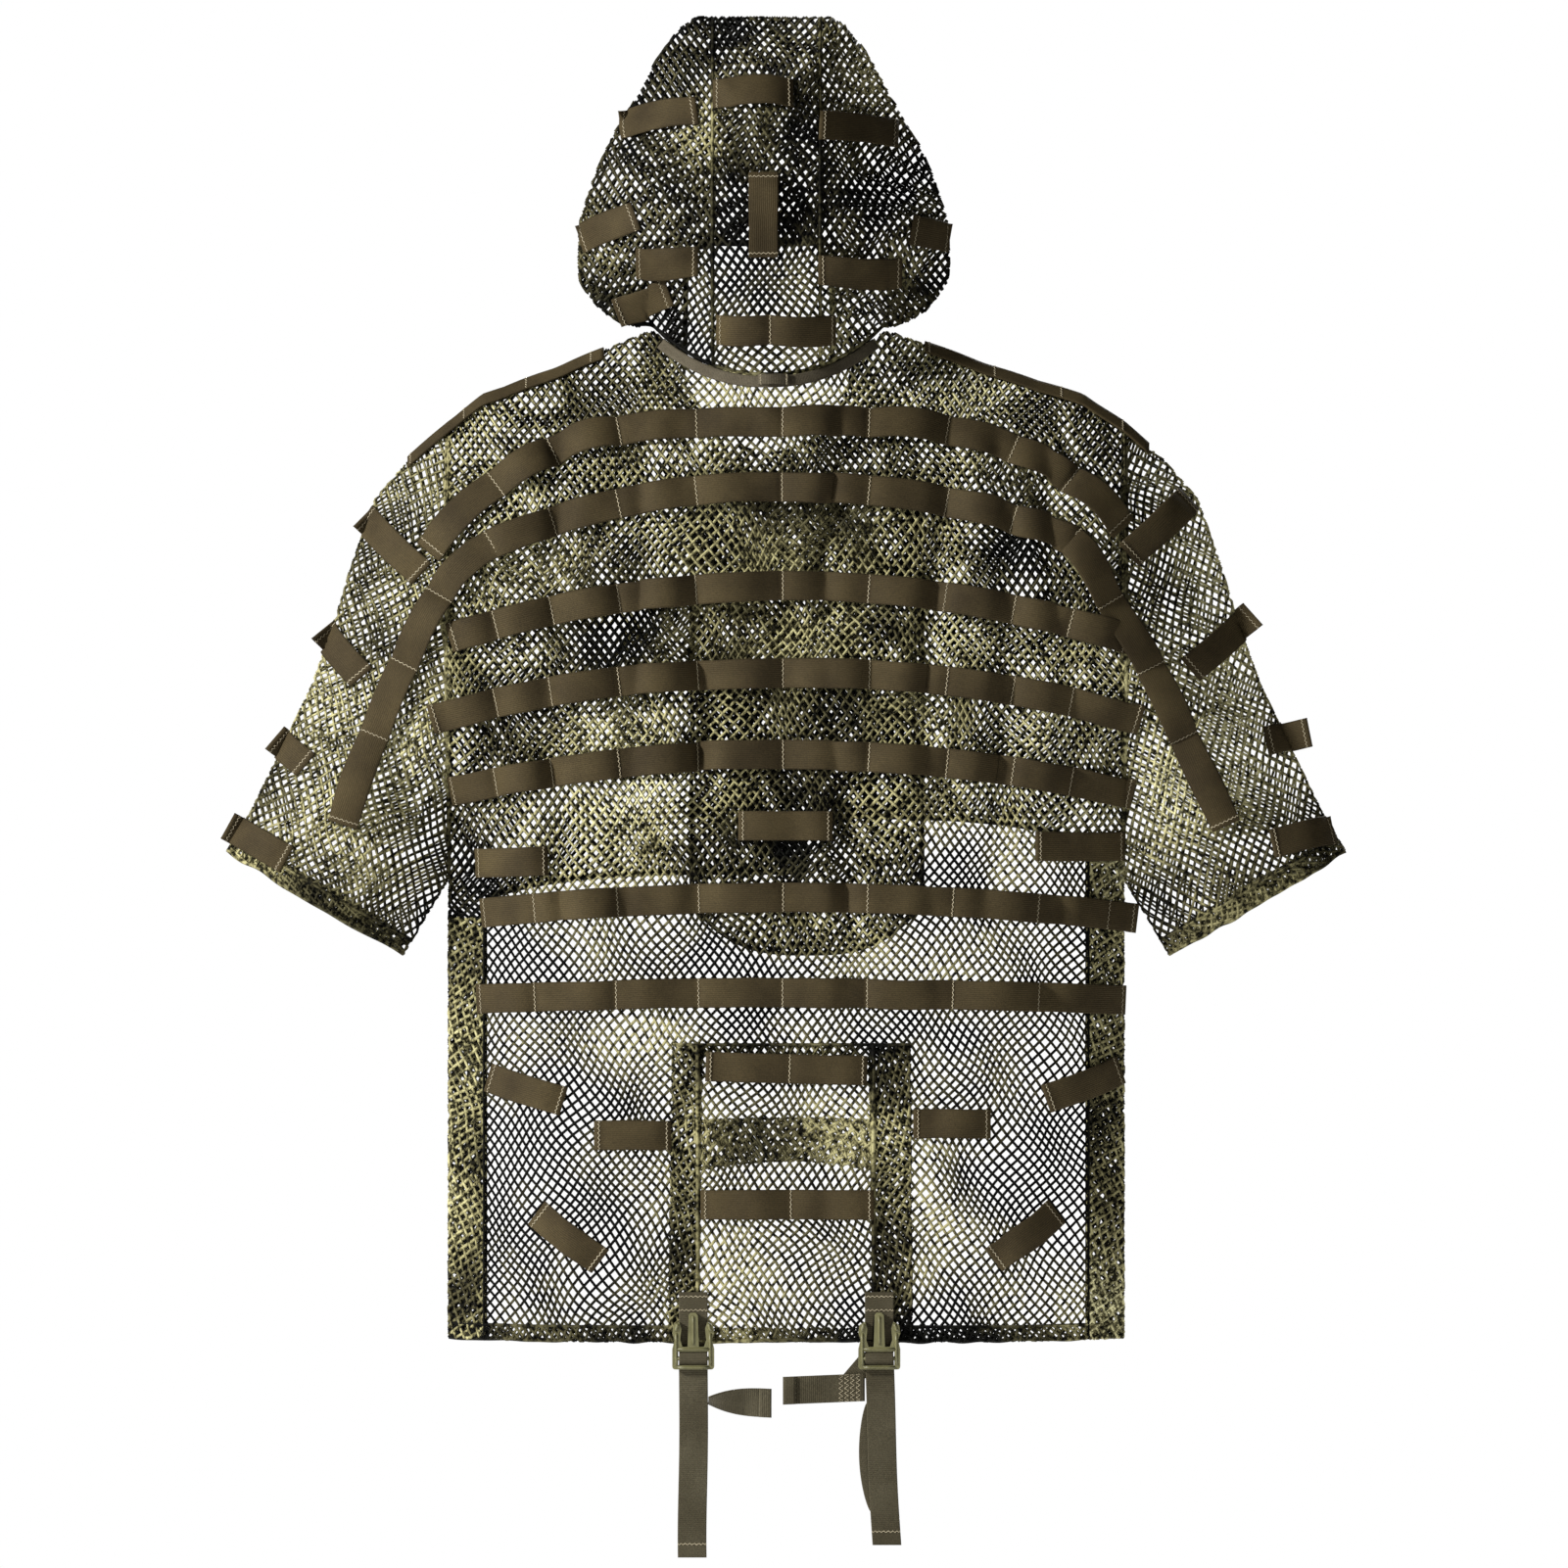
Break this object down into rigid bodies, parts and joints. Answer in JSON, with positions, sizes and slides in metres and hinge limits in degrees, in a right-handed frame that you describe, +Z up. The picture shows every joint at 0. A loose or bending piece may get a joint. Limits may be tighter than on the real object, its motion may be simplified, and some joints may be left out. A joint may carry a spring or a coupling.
{
  "type": "ghillie suit",
  "caption": "Hooded short-sleeved net foundation for a ghillie suit, olive webbing rows and loops sewn on its back, tail flap with two side-release buckles and straps",
  "frame": {"origin": "on the centreline, level with the back neck seam, in the plane of the shoulder folds", "axes": "+Z up, +Y the way the wearer faces, +X to the wearer's right"},
  "size_m": [0.9996, 0.1865, 1.364],
  "materials": {
    "net": "matte",
    "webbing": "matte",
    "strap_webbing": "matte",
    "binding": "matte",
    "buckle_plastic": "satin"
  },
  "bodies": {
    "root": {"back_loop_center": "webbing", "back_loop_left": "webbing", "back_loop_right": "webbing", "back_panel": "net", "buckle_anchor_left": "strap_webbing", "buckle_anchor_right": "strap_webbing", "chest_flap": "net", "front_left": "net", "front_right": "net", "hang_loop": "binding", "hem_loop_left_1": "webbing", "hem_loop_left_2": "webbing", "hem_loop_left_3": "webbing", "hem_loop_right_1": "webbing", "hem_loop_right_2": "webbing", "hem_loop_right_3": "webbing", "neck_tape": "binding", "shoulder_webbing_left": "webbing", "shoulder_webbing_right": "webbing", "sleeve_left": "net", "sleeve_loop_left_1": "webbing", "sleeve_loop_left_2": "webbing", "sleeve_loop_left_3": "webbing", "sleeve_loop_left_4": "webbing", "sleeve_loop_right_1": "webbing", "sleeve_loop_right_2": "webbing", "sleeve_loop_right_3": "webbing", "sleeve_loop_right_4": "webbing", "sleeve_right": "net", "sleeve_webbing_left": "webbing", "sleeve_webbing_right": "webbing", "tail_flap": "net", "webbing_row_1": "webbing", "webbing_row_2": "webbing", "webbing_row_3": "webbing", "webbing_row_4": "webbing", "webbing_row_5": "webbing", "webbing_row_6": "webbing", "webbing_row_7": "webbing", "webbing_row_8": "webbing", "webbing_row_9": "webbing"},
    "hood_body": {"hood_center": "net", "hood_loop_1": "webbing", "hood_loop_10": "webbing", "hood_loop_2": "webbing", "hood_loop_3": "webbing", "hood_loop_4": "webbing", "hood_loop_5": "webbing", "hood_loop_6": "webbing", "hood_loop_7": "webbing", "hood_loop_8": "webbing", "hood_loop_9": "webbing", "hood_side_left": "net", "hood_side_right": "net"},
    "buckle_left_body": {"buckle_left": "buckle_plastic"},
    "buckle_right_body": {"buckle_right": "buckle_plastic"},
    "strap_left_body": {"strap_left": "strap_webbing", "strap_tab_left": "strap_webbing"},
    "strap_right_body": {"strap_right": "strap_webbing", "strap_tab_right": "strap_webbing"}
  },
  "joints": [
    {"name": "hood_tilt", "type": "hinge", "parent": "root", "child": "hood_body", "pos_m": [-0.016, -0.0677, 0.0006], "axis": [1, 0, 0], "range_deg": [0, 30]},
    {"name": "buckle_left_swing", "type": "hinge", "parent": "root", "child": "buckle_left_body", "pos_m": [-0.082, -0.0796, -0.8673], "axis": [1, 0, 0], "range_deg": [0, 45]},
    {"name": "strap_left_swing", "type": "hinge", "parent": "buckle_left_body", "child": "strap_left_body", "pos_m": [-0.082, -0.0759, -0.878], "axis": [1, 0, 0], "range_deg": [-60, 0], "stiffness_Nm_per_rad": 0.01},
    {"name": "buckle_right_swing", "type": "hinge", "parent": "root", "child": "buckle_right_body", "pos_m": [0.082, -0.0796, -0.8673], "axis": [1, 0, 0], "range_deg": [0, 45]},
    {"name": "strap_right_swing", "type": "hinge", "parent": "buckle_right_body", "child": "strap_right_body", "pos_m": [0.082, -0.0759, -0.878], "axis": [1, 0, 0], "range_deg": [-60, 0], "stiffness_Nm_per_rad": 0.01}
  ]
}
